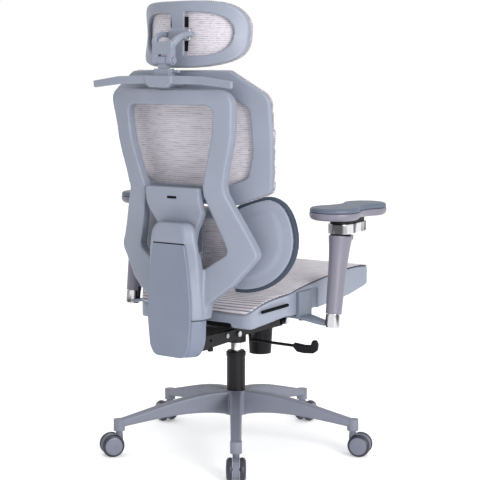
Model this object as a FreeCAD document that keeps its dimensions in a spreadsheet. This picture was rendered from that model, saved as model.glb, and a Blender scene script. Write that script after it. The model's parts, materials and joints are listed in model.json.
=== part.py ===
import FreeCAD, Part
import math
import os
import Sketcher
from FreeCAD import Placement, Rotation, Vector

# Ergonomic gaming chair. Millimetres, +Z up, the sitter faces -Y, the sitter's left is +X.
# The origin is on the floor, on the axis of the gas column.

DIMENSIONS = {
    # star base and casters
    "leg_count": 5,
    "stem_circle": 325,
    "socket_radius": 15,
    "socket_bottom": 67,
    "leg_tip_top": 97,
    "hub_radius": 33,
    "hub_bottom": 90,
    "hub_top": 155,
    "leg_root_width": 34,
    "leg_tip_width": 27,
    "stem_diameter": 11,
    "stem_bore": 11.1,
    "stem_top": 90,
    "wheel_radius": 30,
    "wheel_width": 15,
    "wheel_gap": 19,
    "axle_diameter": 8,
    "axle_bore": 8.1,
    "caster_trail": 20,
    "housing_width": 17.6,
    "housing_radius": 25,
    "neck_radius": 9,
    # gas column
    "tube_diameter": 50,
    "tube_inside": 44,
    "tube_bottom": 58,
    "tube_top": 260,
    "tube_floor": 5,
    "bush_height": 24,
    "rod_diameter": 28,
    "rod_bore": 28.1,
    "rod_inside": 22,
    "rod_bottom": 72,
    "rod_top": 312,
    "rod_wall": 6,
    "piston_rod_diameter": 8,
    "piston_rod_bore": 8.1,
    "piston_diameter": 20,
    "piston_height": 8,
    "piston_top": 205,
    # tilt mechanism
    "socket_diameter": 54,
    "mechanism_bottom": 287,
    "housing_floor": 315,
    "housing_top": 342,
    "housing_half_width": 54,
    "housing_front": -150,
    "housing_rear": 112,
    "pivot_y": 82,
    "pivot_z": 327,
    "pivot_pin": 10,
    "pivot_bore": 10.1,
    "pin_head": 15,
    "seat_pivot_y": -120,
    "seat_pivot_z": 336,
    "knob_radius": 34,
    "knob_height": 68,
    "knob_y": -114,
    "knob_top": 306,
    "lever_z": 291,
    "lever_y": -24,
    "lever_rod": 8,
    "lever_reach": 171,
    # back
    "link_inner": 60,
    "link_thickness": 8,
    "spine_bottom": 292,
    "spine_split": 389,
    "spine_top": 634,
    "spine_rear": 285,
    "cover_top": 582,
    "cover_thickness": 6,
    "arm_depth": 28,
    "rim_depth": 15,
    "mesh_thickness": 3,
    "hanger_height": 20,
    "hanger_thickness": 12,
    # lumbar support
    "lumbar_thickness": 9,
    "lumbar_rim": 9,
    "lumbar_pin": 8,
    "lumbar_bore": 8.1,
    # headrest
    "head_rim_depth": 16,
    "head_pin_y": 243,
    "head_pin_z": 1102,
    "barrel_y": 303,
    "barrel_z": 1038,
    "barrel_diameter": 24,
    "post_width": 26,
    "post_depth": 14,
    # seat
    "carrier_half_width": 92,
    "carrier_bottom": 356,
    "carrier_top": 366,
    "rail_height": 9,
    "seat_half_width": 240,
    "seat_front": -318,
    "seat_rear": 188,
    "tray_wall": 14,
    "seat_mesh_thickness": 5,
    # armrests
    "arm_x": 330,
    "arm_y_low": 33,
    "arm_y_high": 3,
    "arm_z_low": 400,
    "arm_z_high": 596,
    "post_radius": 15,
    "post_foot": 369,
    "head_plate_bottom": 603,
    "head_plate_height": 26,
    "carriage_height": 13.5,
    "pad_shell_bottom": 643.6,
    "pad_shell_height": 19,
    "pad_top_height": 12.5,
    "rear_lobe": 64,
    "left_pad_turn": 30,
    "left_pad_forward": 70,
    "front_lobe": 57,
}

doc = FreeCAD.newDocument("GamingChair")
sheet = doc.addObject("Spreadsheet::Sheet", "Dims")
for row, (alias, number) in enumerate(DIMENSIONS.items(), start=1):
    sheet.set("A%d" % row, alias)
    sheet.set("B%d" % row, str(number))
    sheet.setAlias("B%d" % row, alias)
doc.recompute()

nodes = []


def size(alias):
    """A driving dimension, read from the sheet."""
    return float(sheet.get(alias))


def V(x, y, z):
    return Vector(x, y, z)


def bind(item, **expressions):
    """Tie properties of a document object to cells of the sheet."""
    for name, formula in expressions.items():
        item.setExpression(name, formula)


# ---------------------------------------------------------------- document helpers


def new_body(label):
    body = doc.addObject("PartDesign::Body", label)
    body.Label = label
    return body


def sketch_on(body, name, role, offset=0.0):
    """An empty sketch on one of the body's own origin planes."""
    sketch = body.newObject("Sketcher::SketchObject", name)
    plane = [item for item in body.Origin.OriginFeatures if item.Role == role][0]
    sketch.AttachmentSupport = [(plane, "")]
    sketch.MapMode = "FlatFace"
    sketch.AttachmentOffset = Placement(V(0, 0, offset), Rotation())
    return sketch


def constrain(sketch, constraint, name, formula):
    number = sketch.addConstraint(constraint)
    sketch.renameConstraint(number, name)
    sketch.setExpression("Constraints." + name, formula)


def circle(sketch, x, y, diameter_alias, name):
    """A circle whose diameter follows the sheet, centred at a fixed place."""
    index = sketch.addGeometry(Part.Circle(V(x, y, 0), V(0, 0, 1), size(diameter_alias) / 2))
    constrain(sketch, Sketcher.Constraint("Diameter", index, size(diameter_alias)), name,
              "Dims." + diameter_alias)
    sketch.addConstraint(Sketcher.Constraint("DistanceX", -1, 1, index, 3, x))
    sketch.addConstraint(Sketcher.Constraint("DistanceY", -1, 1, index, 3, y))


def bound_outline(sketch, corners):
    """A closed outline whose corners are (x formula, y formula) pairs of the sheet."""
    places = []
    for x_formula, y_formula in corners:
        places.append((solved(x_formula), solved(y_formula)))
    count = len(places)
    for i in range(count):
        start = V(places[i][0], places[i][1], 0)
        end = V(places[(i + 1) % count][0], places[(i + 1) % count][1], 0)
        sketch.addGeometry(Part.LineSegment(start, end))
    for i in range(count):
        sketch.addConstraint(Sketcher.Constraint("Coincident", i, 2, (i + 1) % count, 1))
    for i in range(count):
        for kind, value, formula in (("DistanceX", places[i][0], corners[i][0]),
                                     ("DistanceY", places[i][1], corners[i][1])):
            constraint = Sketcher.Constraint(kind, -1, 1, i, 1, value)
            constrain(sketch, constraint, "%s_%d" % (kind, i), formula)


def solved(formula):
    """The number that an expression on the sheet gives."""
    return float(sheet.evalExpression(formula.replace("Dims.", "")))


def turned(label, corners, placement=Placement()):
    """A body of revolution about its own Z axis: corners are (radius, height) formulas."""
    body = new_body(label)
    sketch = sketch_on(body, label + "_profile", "XZ_Plane")
    bound_outline(sketch, corners)
    turn = body.newObject("PartDesign::Revolution", label + "_turn")
    turn.Profile = sketch
    turn.ReferenceAxis = (sketch, ["V_Axis"])
    turn.Angle = 360
    body.Placement = placement
    nodes.append(body)
    return body


def feature(label, shape, placement=Placement()):
    """A sub-part whose shape is made directly."""
    item = doc.addObject("Part::Feature", label)
    item.Label = label
    item.Shape = shape
    item.Placement = placement
    nodes.append(item)
    return item


# ---------------------------------------------------------------- shape helpers


def box(low, high):
    return Part.makeBox(high[0] - low[0], high[1] - low[1], high[2] - low[2], V(*low))


def rod(start, end, radius):
    """A round bar between two points."""
    along = V(*end) - V(*start)
    return Part.makeCylinder(radius, along.Length, V(*start), along)


def rounded_section(centre, across, depthwise, width, depth, corner):
    """A rectangle with round corners in the plane of two unit vectors."""
    x, y = width / 2 - corner, depth / 2 - corner
    wire = []
    turns = ((x, y), (-x, y), (-x, -y), (x, -y))

    def place(a, b):
        return centre + across * a + depthwise * b

    for i, (a, b) in enumerate(turns):
        start = math.radians(90 * i)
        middle = start + math.radians(45)
        end = start + math.radians(90)
        points = []
        for angle in (start, middle, end):
            points.append(place(a + corner * math.cos(angle), b + corner * math.sin(angle)))
        wire.append(Part.Arc(*points).toShape())
        after = turns[(i + 1) % 4]
        following = place(after[0] + corner * math.cos(end), after[1] + corner * math.sin(end))
        wire.append(Part.LineSegment(points[2], following).toShape())
    return Part.Wire(wire)


def tangent_at(points, i):
    before, after = points[max(i - 1, 0)], points[min(i + 1, len(points) - 1)]
    return (after - before).normalize()


def swept_bar(stations, corner, faceted=False, rear=V(0, 1, 0)):
    """A bar lofted through (centre, width, depth) stations. Its depth points to the rear."""
    centres = [V(*station[0]) for station in stations]
    wires = []
    for i, (_, width, depth) in enumerate(stations):
        along = tangent_at(centres, i)
        depthwise = (rear - along * rear.dot(along)).normalize()
        across = along.cross(depthwise)
        wires.append(rounded_section(centres[i], across, depthwise, width, depth, corner))
    return Part.makeLoft(wires, True, faceted)


def curved_sheet(depth_at, low_z, high_z, half_width, thickness, columns=9, rows=11):
    """A slab that bends in both directions: depth_at(x, z) is the Y of its rear face."""
    grid = []
    for i in range(columns):
        x = -half_width + 2 * half_width * i / (columns - 1)
        line = []
        for j in range(rows):
            z = low_z + (high_z - low_z) * j / (rows - 1)
            line.append(V(x, depth_at(x, z), z))
        grid.append(line)
    surface = Part.BSplineSurface()
    surface.interpolate(grid)
    return surface.toShape().extrude(V(0, -thickness, 0))


def outline_prism(corners, radius, low_y=-100.0, high_y=400.0):
    """A closed X-Z outline with round corners, extruded along Y."""
    wire = rounded_polygon([V(x, low_y, z) for x, z in corners], radius)
    return Part.Face(wire).extrude(V(0, high_y - low_y, 0))


def rounded_polygon(points, radius):
    """A closed polygon whose corners are arcs: one radius, or one for each corner."""
    count = len(points)
    radii = radius if isinstance(radius, (list, tuple)) else [radius] * count
    arcs = []
    for i, corner in enumerate(points):
        before = (points[i - 1] - corner).normalize()
        after = (points[(i + 1) % count] - corner).normalize()
        half = math.acos(max(-1.0, min(1.0, before.dot(after)))) / 2
        cut = radii[i] / math.tan(half)
        centre = corner + (before + after).normalize() * (radii[i] / math.sin(half))
        middle = centre + (corner - centre).normalize() * radii[i]
        arcs.append((corner + before * cut, middle, corner + after * cut))
    edges = []
    for i in range(count):
        edges.append(Part.Arc(*arcs[i]).toShape())
        edges.append(Part.LineSegment(arcs[i][2], arcs[(i + 1) % count][0]).toShape())
    return Part.Wire(edges)


def mirrored(shape):
    """The same shape on the other side of the chair's middle plane."""
    return shape.mirror(V(0, 0, 0), V(1, 0, 0))


def joined(shapes):
    return shapes[0].multiFuse(shapes[1:]).removeSplitter()


def softened(shape, radius, keep=lambda edge: True):
    """Round the chosen edges of a shape."""
    edges = [edge for edge in shape.Edges if keep(edge)]
    return shape.makeFillet(radius, edges)


# ---------------------------------------------------------------- star base

LEG_ANGLES = [-90 + 72 * i for i in range(int(size("leg_count")))]


def rounded_rectangle(sketch, centre_y, width, height, corner):
    """A rectangle with round corners, width along the sketch's X."""
    x, y = width / 2, height / 2
    inner_x, inner_y = x - corner, y - corner
    lines = (((-inner_x, -y), (inner_x, -y)), ((x, -inner_y), (x, inner_y)),
             ((inner_x, y), (-inner_x, y)), ((-x, inner_y), (-x, -inner_y)))
    for start, end in lines:
        sketch.addGeometry(Part.LineSegment(V(start[0], centre_y + start[1], 0),
                                            V(end[0], centre_y + end[1], 0)))
    centres = ((inner_x, -inner_y, -90), (inner_x, inner_y, 0), (-inner_x, inner_y, 90),
               (-inner_x, -inner_y, 180))
    for cx, cy, start in centres:
        arc = Part.ArcOfCircle(Part.Circle(V(cx, centre_y + cy, 0), V(0, 0, 1), corner),
                               math.radians(start), math.radians(start + 90))
        sketch.addGeometry(arc)


def make_star_base():
    body = new_body("star_base")
    profile = sketch_on(body, "hub_profile", "XZ_Plane")
    bound_outline(profile, (("0", "Dims.hub_bottom"), ("Dims.hub_radius", "Dims.hub_bottom"),
                            ("Dims.hub_radius", "Dims.hub_top"), ("0", "Dims.hub_top")))
    hub = body.newObject("PartDesign::Revolution", "hub")
    hub.Profile = profile
    hub.ReferenceAxis = (profile, ["V_Axis"])
    hub.Angle = 360
    doc.recompute()
    # the first leg points along +X and the others are turned copies of it
    stations = ((18, 66, size("hub_top") - 34, size("leg_root_width")),
                (120, 48, 123, 31),
                (230, 32, 106, 28.5),
                (size("stem_circle"), 21, size("leg_tip_top") - 10.5, size("leg_tip_width")))
    sections = []
    for i, (reach, height, middle, width) in enumerate(stations):
        section = sketch_on(body, "leg_section_%d" % i, "YZ_Plane", reach)
        rounded_rectangle(section, middle, width, height, 7)
        sections.append(section)
    doc.recompute()
    leg = body.newObject("PartDesign::AdditiveLoft", "leg")
    leg.Profile = sections[0]
    leg.Sections = sections[1:]
    leg.Ruled = False
    socket_profile = sketch_on(body, "socket_profile", "XY_Plane", size("socket_bottom"))
    socket_profile.setExpression("AttachmentOffset.Base.z", "Dims.socket_bottom")
    index = socket_profile.addGeometry(Part.Circle(V(size("stem_circle"), 0, 0), V(0, 0, 1),
                                                   size("socket_radius")))
    constrain(socket_profile, Sketcher.Constraint("Radius", index, size("socket_radius")),
              "socket_radius", "Dims.socket_radius")
    socket = body.newObject("PartDesign::Pad", "socket")
    socket.Profile = socket_profile
    bind(socket, Length="Dims.leg_tip_top - Dims.socket_bottom")
    doc.recompute()
    pattern = body.newObject("PartDesign::PolarPattern", "legs")
    pattern.Originals = [leg, socket]
    pattern.Axis = (profile, ["V_Axis"])
    pattern.Angle = 360
    pattern.Occurrences = int(size("leg_count"))
    body.Tip = pattern
    doc.recompute()
    before = pattern.Shape.Volume
    bore_profile = sketch_on(body, "bore_profile", "XY_Plane", size("hub_top") + 1)
    circle(bore_profile, 0, 0, "tube_diameter", "column_bore")
    bore = body.newObject("PartDesign::Pocket", "column_bore")
    bore.Profile = bore_profile
    bore.Type = "ThroughAll"
    body.Tip = bore
    doc.recompute()
    stem_profile = sketch_on(body, "stem_profile", "XY_Plane", size("stem_top") + 2)
    for angle in LEG_ANGLES:
        turn = math.radians(angle + 90)
        circle(stem_profile, size("stem_circle") * math.cos(turn),
               size("stem_circle") * math.sin(turn), "stem_bore", "stem_bore_%d" % (angle + 90))
    stems = body.newObject("PartDesign::Pocket", "stem_bores")
    stems.Profile = stem_profile
    stems.Type = "ThroughAll"
    body.Tip = stems
    doc.recompute()
    if not stems.Shape.Volume < bore.Shape.Volume < before:
        raise RuntimeError("a bore of the star base cuts nothing")
    body.Placement = Placement(V(0, 0, 0), Rotation(V(0, 0, 1), LEG_ANGLES[0]))
    nodes.append(body)


# ---------------------------------------------------------------- casters


def part_cylinder(name, radius, height, base=V(0, 0, 0), axis=V(0, 0, 1)):
    item = doc.addObject("Part::Cylinder", name)
    bind(item, Radius=radius, Height=height)
    item.Placement = Placement(base, Rotation(V(0, 0, 1), axis))
    return item


def part_box(name, length, width, height, base):
    item = doc.addObject("Part::Box", name)
    bind(item, Length=length, Width=width, Height=height)
    item.Placement = Placement(base, Rotation())
    return item


def fuse_node(label, pieces, placement=Placement()):
    """One sub-part fused from primitives."""
    item = doc.addObject("Part::MultiFuse", label)
    item.Label = label
    item.Shapes = pieces
    item.Placement = placement
    nodes.append(item)
    return item


def make_caster(number, angle):
    """Stem, neck, web and axle in one housing, and a wheel on each side of the web."""
    turn = math.radians(angle)
    stem_circle = size("stem_circle")
    place = Placement(V(stem_circle * math.cos(turn), stem_circle * math.sin(turn), 0),
                      Rotation(V(0, 0, 1), angle))
    trail, wheel_radius = size("caster_trail"), size("wheel_radius")
    name = "caster_%d" % number
    stem = part_cylinder(name + "_stem", "Dims.stem_diameter / 2", "Dims.stem_top - 45", V(0, 0, 45))
    neck = part_cylinder(name + "_neck", "Dims.neck_radius", "Dims.socket_bottom - 2 - 44", V(0, 0, 44))
    web = part_cylinder(name + "_web", "Dims.housing_radius", "Dims.housing_width",
                        V(trail, size("housing_width") / 2, wheel_radius), V(0, -1, 0))
    bridge = part_box(name + "_bridge", "Dims.caster_trail + 8", "Dims.housing_width",
                      "Dims.wheel_radius", V(-8, -size("housing_width") / 2, 27))
    axle = part_cylinder(name + "_axle", "Dims.axle_diameter / 2",
                         "Dims.wheel_gap + 2 * Dims.wheel_width - 4",
                         V(trail, size("wheel_gap") / 2 + size("wheel_width") - 2, wheel_radius),
                         V(0, -1, 0))
    fuse_node("caster_housing_%d" % number, [stem, neck, web, bridge, axle], place)
    for side, letter in ((1, "a"), (-1, "b")):
        face = Rotation(V(0, 0, 1), V(0, side, 0))
        centre = V(trail, side * size("wheel_gap") / 2, wheel_radius)
        turned("caster_wheel_%d%s" % (number, letter),
               (("Dims.axle_bore / 2", "0"), ("Dims.wheel_radius - 2", "0"),
                ("Dims.wheel_radius", "2.5"), ("Dims.wheel_radius", "8"),
                ("Dims.wheel_radius - 2.2", "12.5"), ("Dims.wheel_radius - 6", "Dims.wheel_width - 1"),
                ("Dims.wheel_radius - 7", "Dims.wheel_width"),
                ("0", "Dims.wheel_width + 1.2"),
                ("0", "Dims.wheel_width - 1"), ("Dims.axle_bore / 2", "Dims.wheel_width - 1")),
               place.multiply(Placement(centre, face)))


# ---------------------------------------------------------------- gas column


def make_column():
    turned("gas_tube", (("Dims.piston_rod_bore / 2", "Dims.tube_bottom"),
                        ("Dims.tube_diameter / 2 - 0.03", "Dims.tube_bottom"),
                        ("Dims.tube_diameter / 2 - 0.03", "Dims.tube_top"),
                        ("Dims.tube_inside / 2", "Dims.tube_top"),
                        ("Dims.tube_inside / 2", "Dims.tube_bottom + Dims.tube_floor"),
                        ("Dims.piston_rod_bore / 2", "Dims.tube_bottom + Dims.tube_floor")))
    turned("column_bush", (("Dims.rod_bore / 2", "Dims.tube_top - Dims.bush_height"),
                           ("Dims.tube_inside / 2 - 0.03", "Dims.tube_top - Dims.bush_height"),
                           ("Dims.tube_inside / 2 - 0.03", "Dims.tube_top"),
                           ("Dims.tube_diameter / 2 - 0.5", "Dims.tube_top"),
                           ("Dims.tube_diameter / 2 - 2", "Dims.tube_top + 3"),
                           ("Dims.rod_bore / 2", "Dims.tube_top + 3")))
    turned("piston_rod", (("0", "Dims.tube_bottom - 3"),
                          ("Dims.piston_rod_diameter", "Dims.tube_bottom - 3"),
                          ("Dims.piston_rod_diameter", "Dims.tube_bottom - 0.1"),
                          ("Dims.piston_rod_diameter / 2", "Dims.tube_bottom - 0.1"),
                          ("Dims.piston_rod_diameter / 2", "Dims.piston_top - Dims.piston_height"),
                          ("Dims.piston_diameter / 2", "Dims.piston_top - Dims.piston_height"),
                          ("Dims.piston_diameter / 2", "Dims.piston_top"), ("0", "Dims.piston_top")))
    turned("gas_cylinder", (("Dims.piston_rod_bore / 2", "Dims.rod_bottom"),
                            ("Dims.rod_diameter / 2", "Dims.rod_bottom"),
                            ("Dims.rod_diameter / 2", "Dims.rod_top"), ("0", "Dims.rod_top"),
                            ("0", "Dims.rod_top - Dims.rod_wall"),
                            ("Dims.rod_inside / 2", "Dims.rod_top - Dims.rod_wall"),
                            ("Dims.rod_inside / 2", "Dims.rod_bottom + Dims.rod_wall"),
                            ("Dims.piston_rod_bore / 2", "Dims.rod_bottom + Dims.rod_wall")))


# ---------------------------------------------------------------- tilt mechanism

PIVOT_Y, PIVOT_Z = size("pivot_y"), size("pivot_z")
SEAT_PIVOT_Y, SEAT_PIVOT_Z = size("seat_pivot_y"), size("seat_pivot_z")


def make_mechanism():
    half, low, high = size("housing_half_width"), size("housing_floor"), size("housing_top")
    front, rear = size("housing_front"), size("housing_rear")
    wire = rounded_polygon([V(-half, front, low), V(half, front, low), V(half, rear, low),
                            V(-half, rear, low)], 10)
    case = Part.Face(wire).extrude(V(0, 0, high - low))
    socket = Part.makeCylinder(size("socket_diameter") / 2, low - size("mechanism_bottom") + 2,
                               V(0, 0, size("mechanism_bottom")))
    nose = box((-20, -136, low - 4), (20, -96, low))
    shell = joined([case, socket, nose])
    # the column, the two hinge pins and the lever rods pass through it
    shell = shell.cut(Part.makeCylinder(size("rod_bore") / 2, 60, V(0, 0, 280)))
    for y, z in ((PIVOT_Y, PIVOT_Z), (SEAT_PIVOT_Y, SEAT_PIVOT_Z)):
        shell = shell.cut(rod((-100, y, z), (100, y, z), size("pivot_pin") / 2 + 0.02))
    knob_bore = Part.makeCylinder(5.1, 30, V(0, size("knob_y"), low - 20))
    shell = shell.cut(knob_bore)
    feature("mechanism_housing", shell)
    pins = []
    for y, z, reach in ((PIVOT_Y, PIVOT_Z, size("link_inner") + size("link_thickness") + 1),
                        (SEAT_PIVOT_Y, SEAT_PIVOT_Z, 83.0)):
        pin = rod((-reach, y, z), (reach, y, z), size("pivot_pin") / 2)
        heads = [rod((side * reach, y, z), (side * (reach + 4), y, z), size("pin_head") / 2)
                 for side in (-1, 1)]
        pins.append(joined([pin] + heads))
    feature("mechanism_bolts", Part.makeCompound(pins))


def make_tension_knob():
    """A scalloped grip below the front of the mechanism, on a short screw."""
    top, height, radius = size("knob_top"), size("knob_height"), size("knob_radius")
    y = size("knob_y")
    grip = Part.makeCone(radius - 4, radius, height, V(0, y, top - height))
    for i in range(12):
        turn = math.radians(30 * i)
        reach = radius + 1
        groove = Part.makeCylinder(4, height - 12, V(reach * math.cos(turn), y + reach * math.sin(turn),
                                                     top - height))
        grip = grip.cut(groove)
    screw = Part.makeCylinder(5, 18, V(0, y, top - 1))
    feature("tension_knob", joined([grip, screw]))


def paddle_shape(start):
    """A lobed grip that stands almost upright at the rod's end."""
    corners = ((0, -4), (3, 9), (36, 6), (56, 8), (64, 23), (77, 25), (80, 12), (74, -6), (60, -15),
               (30, -18), (8, -16), (3, -8))
    points = [V(start + x, y, 0) for x, y in corners]
    face = Part.Face(rounded_polygon(points, (2, 3, 8, 8, 5, 5, 7, 7, 9, 12, 5, 3)))
    blade = softened(face.extrude(V(0, 0, 10)), 3).translate(V(0, 0, -5))
    blade.rotate(V(0, 0, 0), V(1, 0, 0), 70)
    return blade


def make_lever(label, side):
    """A rod below the mechanism's floor, on a cross pin, that ends in a paddle."""
    radius = size("lever_rod") / 2
    start, inner = size("lever_reach"), 30
    bar = rod((inner, 0, 0), (start + 12, 0, 0), radius)
    riser = rod((inner + 4, 0, 0), (inner + 4, 0, 17), radius)
    pin = rod((inner + 4, -9, 17), (inner + 4, 9, 17), radius + 1)
    shape = joined([bar, riser, pin, paddle_shape(start)])
    if side < 0:
        shape = mirrored(shape)
    feature(label, shape, Placement(V(0, size("lever_y"), size("lever_z")), Rotation()))


# ---------------------------------------------------------------- back frame and spine

# right half of the hourglass frame's outer edge and of its window, as (x, z)
HOURGLASS_OUTER = ((187, 967.5), (179, 845), (146, 722), (219, 556), (158, 480), (92, 428), (84, 389.4))
HOURGLASS_WINDOW = ((136, 929), (127, 845), (89, 714), (142, 560), (70, 513))
# the rear face of its middle line: (z, y)
HOURGLASS_REAR = ((360, 262), (440, 258), (520, 248), (590, 248), (660, 263), (730, 278), (800, 289),
                  (870, 295), (940, 300), (1010, 304))
HOURGLASS_CURL = 7.2e-4


def spine_section(z, rear_half, side_half, rear, side, front, corner):
    """A six-sided section of the spine: a flat rear face and slanted cheeks."""
    corners = [V(-rear_half, rear, z), V(rear_half, rear, z), V(side_half, side, z),
               V(side_half, front, z), V(-side_half, front, z), V(-side_half, side, z)]
    return rounded_polygon(corners, corner)


def lofted(sections):
    return Part.makeLoft(sections, True, False)


def both_sides(half, radii, low_y=-100.0, high_y=400.0):
    """A prism whose outline is given for one side and mirrored to the other."""
    other = [(-x, z) for x, z in reversed(half)]
    return outline_prism(list(half) + other, list(radii) + list(reversed(radii)), low_y, high_y)


def hourglass_slab():
    """The bent slab that the hourglass frame is cut from."""
    grid = []
    for i in range(9):
        x = -240 + 60 * i
        grid.append([V(x, y - HOURGLASS_CURL * x * x, z) for z, y in HOURGLASS_REAR])
    surface = Part.BSplineSurface()
    surface.interpolate(grid)
    return surface.toShape().extrude(V(0, -size("arm_depth"), 0))


def make_back_frame():
    outer = both_sides(HOURGLASS_OUTER, (38, 150, 55, 24, 60, 24, 0.5))
    window = both_sides(HOURGLASS_WINDOW, (22, 90, 45, 18, 6))
    hourglass = outer.cut(window).common(hourglass_slab())
    rear, split, top = size("spine_rear"), size("spine_split"), size("spine_top")
    cover_top = size("cover_top")
    lower = lofted([spine_section(split, 70, 84, rear, 262, 240, 6),
                    spine_section(430, 69, 84, rear, 264, 240, 6),
                    spine_section(500, 62, 80, rear, 268, 244, 6),
                    spine_section(556, 54, 76, rear, 272, 250, 6)])
    middle = lofted([spine_section(555, 54, 76, rear, 272, 257, 5),
                     spine_section(cover_top + 1, 50, 71, rear, 274, 257, 5)])
    hood = lofted([spine_section(cover_top + 1, 50, 71, rear + 6, 274, 257, 4),
                   spine_section(612, 47, 66, rear + 4, 272, 257, 4),
                   spine_section(627, 42, 58, rear - 1, 269, 257, 4),
                   spine_section(top, 34, 46, rear - 8, 266, 257, 3)])
    ears = []
    for side in (-1, 1):
        near, far = sorted((side * 22, side * 30))
        ears.append(box((near, 200, 530), (far, 252, 552)))
    frame = joined([hourglass, lower, middle, hood] + ears)
    feature("back_frame", frame.cut(rod((-60, 208, 541), (60, 208, 541), size("lumbar_bore") / 2)))


COVER_OUTLINE = ((-49, 582), (-60, 520), (-68.5, 430), (-68, 380), (-62, 318), (-48, 292),
                 (48, 292), (62, 318), (68, 380), (68.5, 430), (60, 520), (49, 582))


def make_spine_cover():
    rear = size("spine_rear")
    plate = outline_prism(COVER_OUTLINE, (8, 60, 60, 60, 26, 24, 24, 26, 60, 60, 60, 8),
                          rear + 0.1, rear + size("cover_thickness"))
    rim = [edge for edge in plate.Edges if edge.BoundBox.YMin > rear + size("cover_thickness") - 0.1]
    feature("spine_cover", plate.makeFillet(2.5, rim))


def make_lower_spine_box():
    rear, bottom = size("spine_rear"), size("spine_bottom")
    split = size("spine_split") - 0.4
    shell = lofted([spine_section(split, 70, 84, rear, 262, 238, 6),
                    spine_section(350, 67, 82, rear, 260, 238, 6),
                    spine_section(315, 60, 75, rear - 1, 258, 238, 6),
                    spine_section(bottom, 44, 58, rear - 6, 257, 240, 6)])
    feature("lower_spine_box", shell)


def make_link_bars():
    """Two flat bars and a cross plate carry the spine on the recline pivot."""
    inner, thick = size("link_inner"), size("link_thickness")
    bars = []
    for side in (-1, 1):
        low, high = sorted((side * inner, side * (inner + thick)))
        points = [V(low, PIVOT_Y - 12, PIVOT_Z - 13), V(low, 214, 308), V(low, 214, 342),
                  V(low, 140, PIVOT_Z + 13), V(low, PIVOT_Y - 12, PIVOT_Z + 13)]
        bar = Part.Face(rounded_polygon(points, (11, 3, 3, 20, 11))).extrude(V(high - low, 0, 0))
        bars.append(bar)
    plate = box((-inner - thick, 212, 306), (inner + thick, 237.8, 342))
    frame = joined(bars + [plate])
    frame = frame.cut(rod((-100, PIVOT_Y, PIVOT_Z), (100, PIVOT_Y, PIVOT_Z), size("pivot_bore") / 2))
    frame = frame.cut(rod((-100, 203, 328), (100, 203, 328), 4))
    feature("link_bars", frame)


# ---------------------------------------------------------------- upper back

# right halves of the upper frame's edges, as (x, z)
FRAME_OUTER = ((152, 1013), (251, 950), (245, 846), (229, 711), (138, 678))
FRAME_INNER = ((132, 966), (198, 918), (194, 812), (176, 748), (118, 726))


def upper_back_rear(x, z):
    """Y of the upper back's rear face: curved in plan, leaning back towards the top."""
    middle = 215 + 0.114 * (z - 713)
    curl = 0.9e-3 - 1.82e-6 * (z - 713)
    return middle - curl * x * x


BRACKET_HALF = ((84, 723), (84, 660), (54, 610), (47, 566))


def bracket_rear(x, z):
    """The bracket's neck slides flat inside the hood and its plate steps to the rear above it."""
    return 265 + 12 * math.tanh((z - 668) / 22)


def make_upper_back():
    depth = size("rim_depth")
    sheet_body = curved_sheet(upper_back_rear, 640, 1040, 280, depth)
    outer = both_sides(FRAME_OUTER, (26, 34, 90, 20, 30))
    inner = both_sides(FRAME_INNER, (24, 24, 60, 16, 24))
    frame = outer.cut(inner).common(sheet_body)
    feature("upper_back_frame", frame)
    mesh = size("mesh_thickness")
    front = curved_sheet(lambda x, z: upper_back_rear(x, z) - depth - 0.2, 640, 1040, 280, mesh)
    feature("upper_back_mesh", outer.common(front))
    plate = both_sides(BRACKET_HALF, (4, 14, 60, 3)).common(curved_sheet(bracket_rear, 550, 740, 100, 22))
    bridge = box((-60, 216, 690), (60, 262, 716))
    recess = box((-15, 273, 694), (15, 290, 701))
    feature("back_bracket", joined([plate, bridge]).cut(recess))


def make_coat_hanger():
    """A faceted bar with a deeper block in its middle."""
    height, thick = size("hanger_height"), size("hanger_thickness")
    stations = []
    for x, y, z, less in ((-217, 315, 979, 2), (-130, 319, 989.5, 0), (-42, 320, 991, 0),
                          (42, 320, 991, 0), (130, 319, 989.5, 0), (217, 315, 979, 2)):
        stations.append(((x, y, z), height - less, thick - less))
    bar = swept_bar(stations, 3, faceted=True)
    block = both_sides(((42, 1001), (41, 983), (27, 972)), (3, 3, 3), 314.1, 329)
    feature("coat_hanger", joined([bar, block]))


def make_headrest_socket():
    """The block that carries the headrest post, with the latch tab on its right."""
    width, depth = size("post_width"), size("post_depth")
    post_y = size("barrel_y")
    block = box((-24, 291, 974), (24, 313.8, 1018))
    bridge = box((-22, 252, 976), (22, 292, 998))
    tab = box((-44, 292, 1008), (-23, 302, 1014))
    shell = joined([block, bridge, tab])
    slot = box((-width / 2 - 0.4, post_y - depth / 2 - 0.4, 900),
               (width / 2 + 0.4, post_y + depth / 2 + 0.4, 1100))
    feature("headrest_socket", shell.cut(slot))


# ---------------------------------------------------------------- lumbar support

WING_CURVE = ((116, 664), (139, 676), (173, 689), (206, 695), (234, 685), (254, 660), (266, 625),
              (270, 590), (263, 545), (246, 512), (219, 484), (174, 462), (116, 458))


def lumbar_rear(x, z):
    return 178 - 0.73e-3 * x * x


def wing_prism(side, grow):
    """One wing's outline with its curved edge moved outwards, extruded along Y."""
    last = len(WING_CURVE) - 1
    places = []
    for i, (x, z) in enumerate(WING_CURVE):
        before, after = WING_CURVE[max(i - 1, 0)], WING_CURVE[min(i + 1, last)]
        along = V(after[0] - before[0], 0, after[1] - before[1]).normalize()
        outward = V(-along.z, 0, along.x)
        if i in (0, last):
            outward = V(0, 0, 1 if i == 0 else -1)
        places.append(V(side * (x + outward.x * grow), -100, z + outward.z * grow))
    curve = Part.BSplineCurve()
    curve.interpolate(places)
    wire = Part.Wire([curve.toShape(), Part.LineSegment(places[-1], places[0]).toShape()])
    return Part.Face(wire).extrude(V(0, 500, 0))


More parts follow.
